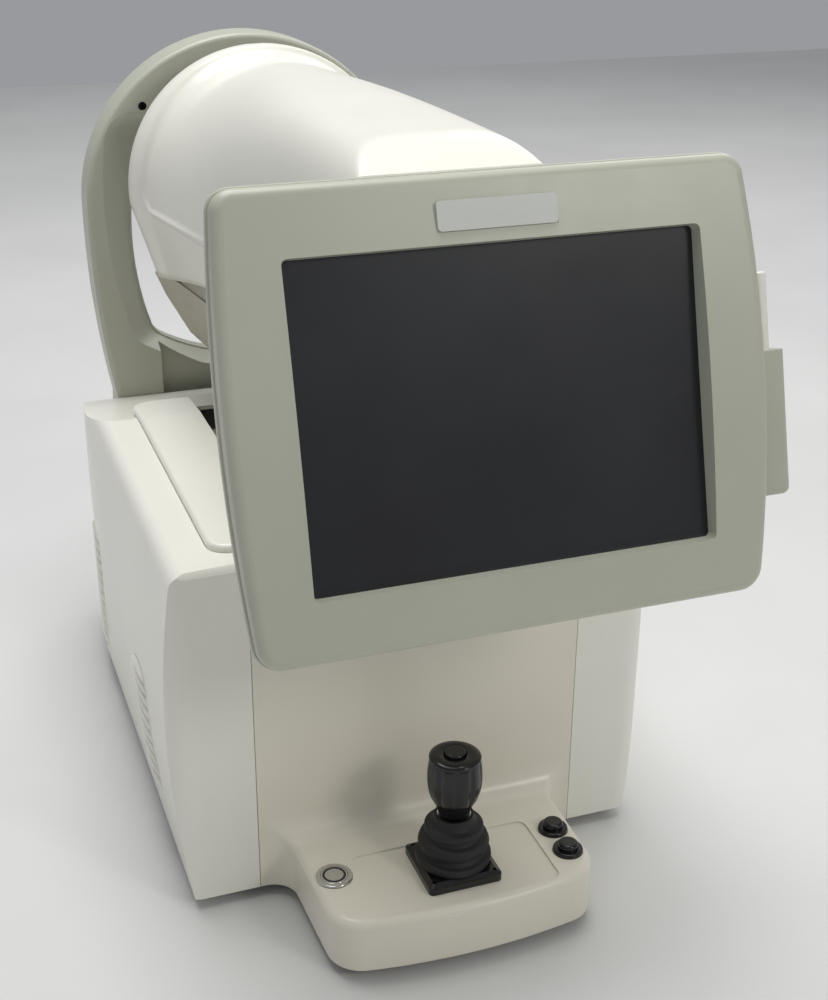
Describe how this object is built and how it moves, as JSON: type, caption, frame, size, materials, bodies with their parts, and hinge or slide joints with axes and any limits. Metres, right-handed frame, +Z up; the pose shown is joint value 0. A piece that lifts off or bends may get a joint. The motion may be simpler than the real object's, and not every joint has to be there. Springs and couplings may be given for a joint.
{
  "type": "wavefront autorefractor keratometer",
  "caption": "Table-top eye-measuring instrument with a measuring head on a three-axis stage, a tilting touch display, a joystick shelf, and a face arch with chin rest.",
  "frame": {"origin": "on the table, under the middle of the whole object's bounding box", "axes": "+Z up; +Y from the operator towards the patient; +X to the operator's right"},
  "size_m": [0.3198, 0.6146, 0.4699],
  "materials": {
    "cream_cover": "smooth cream moulding, low gloss",
    "beige_panel": "smooth warm cream moulding",
    "taupe_plastic": "satin taupe moulding",
    "grey_green": "satin grey-green paint on plastic",
    "dark_plastic": "fine matt texture",
    "pearl_plate": "satin silver-white plate, blank",
    "black_plastic": "polished black",
    "white_plastic": "smooth off-white",
    "rubber": "matt black rubber",
    "pad": "soft silicone, matt",
    "steel": "ground",
    "stainless": "polished stainless",
    "motor_steel": "black laminations",
    "sheet_steel": "zinc-plated sheet",
    "cast_alloy": "as cast, machined faces",
    "anodised": "black anodised",
    "board": "green solder mask",
    "screen_glass": "dark touch glass",
    "lens_glass": "coated lens"
  },
  "bodies": {
    "base": {"left_cover": "cream_cover", "right_cover": "cream_cover", "top_panel": "cream_cover", "front_panel": "beige_panel", "rear_panel": "dark_plastic", "chassis_plate": "cast_alloy", "feet": "rubber", "y_rails": "steel", "y_motor": "motor_steel", "power_supply": "sheet_steel", "control_board": "board", "mains_inlet": "dark_plastic", "arch_frame": "grey_green", "arch_face": "grey_green", "forehead_pad": "pad", "arch_screws": "steel", "chin_column": "cream_cover", "chin_motor": "motor_steel", "stick_plate": "black_plastic", "boot_lower": "rubber", "power_button_ring": "stainless", "chin_button_rings": "black_plastic"},
    "y_stage": {"y_carriage": "cast_alloy", "x_rails": "steel", "x_motor": "motor_steel"},
    "y_drive": {"y_screw": "steel"},
    "x_stage": {"x_carriage": "cast_alloy", "z_guides": "steel", "z_motor": "motor_steel", "dust_shield": "taupe_plastic"},
    "x_drive": {"x_screw": "steel"},
    "z_drive": {"z_screw": "steel"},
    "head": {"upper_shell": "cream_cover", "lower_shell": "cream_cover", "lower_housing": "taupe_plastic", "neck": "taupe_plastic", "head_frame": "cast_alloy", "measuring_face": "dark_plastic", "target_cone": "white_plastic", "optical_tube": "anodised", "front_lens": "lens_glass", "wavefront_sensor": "anodised"},
    "display": {"bezel": "grey_green", "name_plate": "pearl_plate", "touch_screen": "screen_glass", "lcd_panel": "dark_plastic", "display_back": "grey_green", "hinge_pin": "steel", "stylus_holder": "grey_green"},
    "stylus": {"stylus": "white_plastic"},
    "chin_rest": {"chin_rest": "white_plastic"},
    "chin_drive": {"chin_screw": "steel"},
    "joystick_gimbal": {"gimbal_ring": "cast_alloy"},
    "joystick_lever": {"stick_shaft": "steel", "boot_upper": "rubber"},
    "joystick_grip": {"stick_handle": "black_plastic"},
    "joystick_button": {"stick_button": "black_plastic"},
    "power_button": {"power_button": "dark_plastic"},
    "chin_up_button": {"chin_up_button": "black_plastic"},
    "chin_down_button": {"chin_down_button": "black_plastic"}
  },
  "joints": [
    {"name": "y_slide", "type": "slide", "parent": "base", "child": "y_stage", "axis": [0, 1, 0], "range_m": [-0.02, 0.02]},
    {"name": "y_screw_turn", "type": "hinge", "parent": "base", "child": "y_drive", "pos_m": [-0.00439, 0.05133, 0.03], "axis": [0, 1, 0], "range_deg": [-720, 720]},
    {"name": "x_slide", "type": "slide", "parent": "y_stage", "child": "x_stage", "axis": [1, 0, 0], "range_m": [-0.04, 0.04]},
    {"name": "x_screw_turn", "type": "hinge", "parent": "y_stage", "child": "x_drive", "pos_m": [-0.00439, 0.08133, 0.074], "axis": [1, 0, 0], "range_deg": [-1440, 1440]},
    {"name": "head_lift", "type": "slide", "parent": "x_stage", "child": "head", "axis": [0, 0, 1], "range_m": [-0.015, 0.025]},
    {"name": "z_screw_turn", "type": "hinge", "parent": "x_stage", "child": "z_drive", "pos_m": [-0.00439, 0.05133, 0.15], "axis": [0, 0, 1], "range_deg": [-540, 900]},
    {"name": "display_tilt", "type": "hinge", "parent": "head", "child": "display", "pos_m": [-0.00439, -0.22621, 0.37425], "axis": [1, 0, 0], "range_deg": [-14, 8]},
    {"name": "stylus_draw", "type": "slide", "parent": "display", "child": "stylus", "axis": [0, 0.274, 0.9617], "range_m": [0, 0.06]},
    {"name": "chin_lift", "type": "slide", "parent": "base", "child": "chin_rest", "axis": [0, 0, 1], "range_m": [-0.03, 0.03]},
    {"name": "chin_screw_turn", "type": "hinge", "parent": "base", "child": "chin_drive", "pos_m": [-0.00439, 0.27733, 0.12], "axis": [0, 0, 1], "range_deg": [-1080, 1080]},
    {"name": "joystick_fore_aft", "type": "hinge", "parent": "base", "child": "joystick_gimbal", "pos_m": [-0.00439, -0.21667, 0.034], "axis": [1, 0, 0], "range_deg": [-12, 12], "stiffness_Nm_per_rad": 0.6},
    {"name": "joystick_left_right", "type": "hinge", "parent": "joystick_gimbal", "child": "joystick_lever", "pos_m": [-0.00439, -0.21667, 0.034], "axis": [0, 1, 0], "range_deg": [-12, 12], "stiffness_Nm_per_rad": 0.6, "deforming": ["boot_upper"]},
    {"name": "joystick_twist", "type": "hinge", "parent": "joystick_lever", "child": "joystick_grip", "pos_m": [-0.00439, -0.21667, 0.1], "axis": [0, 0, 1], "range_deg": [-60, 60]},
    {"name": "joystick_press", "type": "slide", "parent": "joystick_grip", "child": "joystick_button", "axis": [0, 0, -1], "range_m": [0, 0.0018], "stiffness_N_per_m": 400},
    {"name": "power_press", "type": "slide", "parent": "base", "child": "power_button", "axis": [0, 0, -1], "range_m": [0, 0.0015], "stiffness_N_per_m": 500},
    {"name": "chin_up_press", "type": "slide", "parent": "base", "child": "chin_up_button", "axis": [0, 0, -1], "range_m": [0, 0.0025], "stiffness_N_per_m": 400},
    {"name": "chin_down_press", "type": "slide", "parent": "base", "child": "chin_down_button", "axis": [0, 0, -1], "range_m": [0, 0.0025], "stiffness_N_per_m": 400}
  ],
  "couplings": [
    {"joint": "y_screw_turn", "follows": "y_slide", "rad_per_m": 628.32},
    {"joint": "x_screw_turn", "follows": "x_slide", "rad_per_m": 628.32},
    {"joint": "z_screw_turn", "follows": "head_lift", "rad_per_m": 628.32},
    {"joint": "chin_screw_turn", "follows": "chin_lift", "rad_per_m": 628.32}
  ]
}
